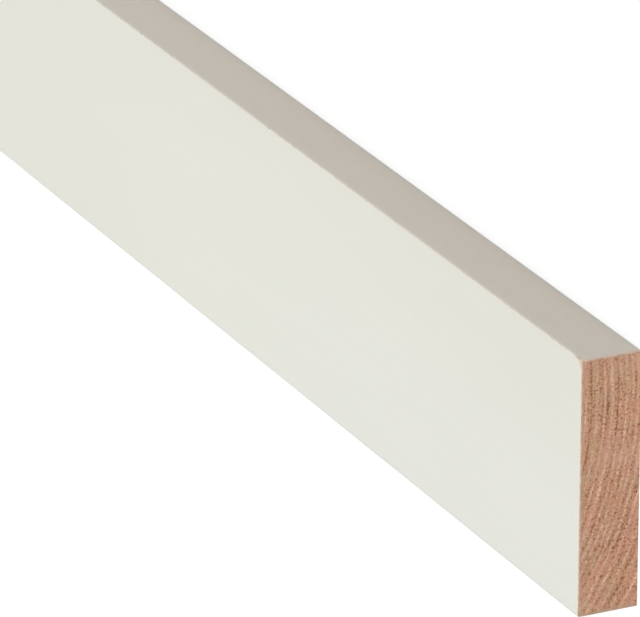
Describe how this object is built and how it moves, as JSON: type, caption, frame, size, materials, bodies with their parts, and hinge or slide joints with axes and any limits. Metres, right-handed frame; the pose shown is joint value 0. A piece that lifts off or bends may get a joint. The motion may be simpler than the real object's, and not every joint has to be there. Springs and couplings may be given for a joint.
{
  "type": "rectangular trim strip",
  "caption": "Flat rectangular pine trim strip, painted off-white, with eased long corners and bare sawn ends.",
  "frame": {"origin": "centre of the flat back face, halfway along the strip", "axes": "+X along the strip, towards the sawn end that the picture shows; +Y across its width, towards the narrow edge that is uppermost in the picture; +Z out of the painted wide face"},
  "size_m": [2.4, 0.058, 0.014],
  "materials": {
    "painted_pine": "satin"
  },
  "bodies": {
    "root": {"trim_strip": "painted_pine"}
  },
  "joints": []
}
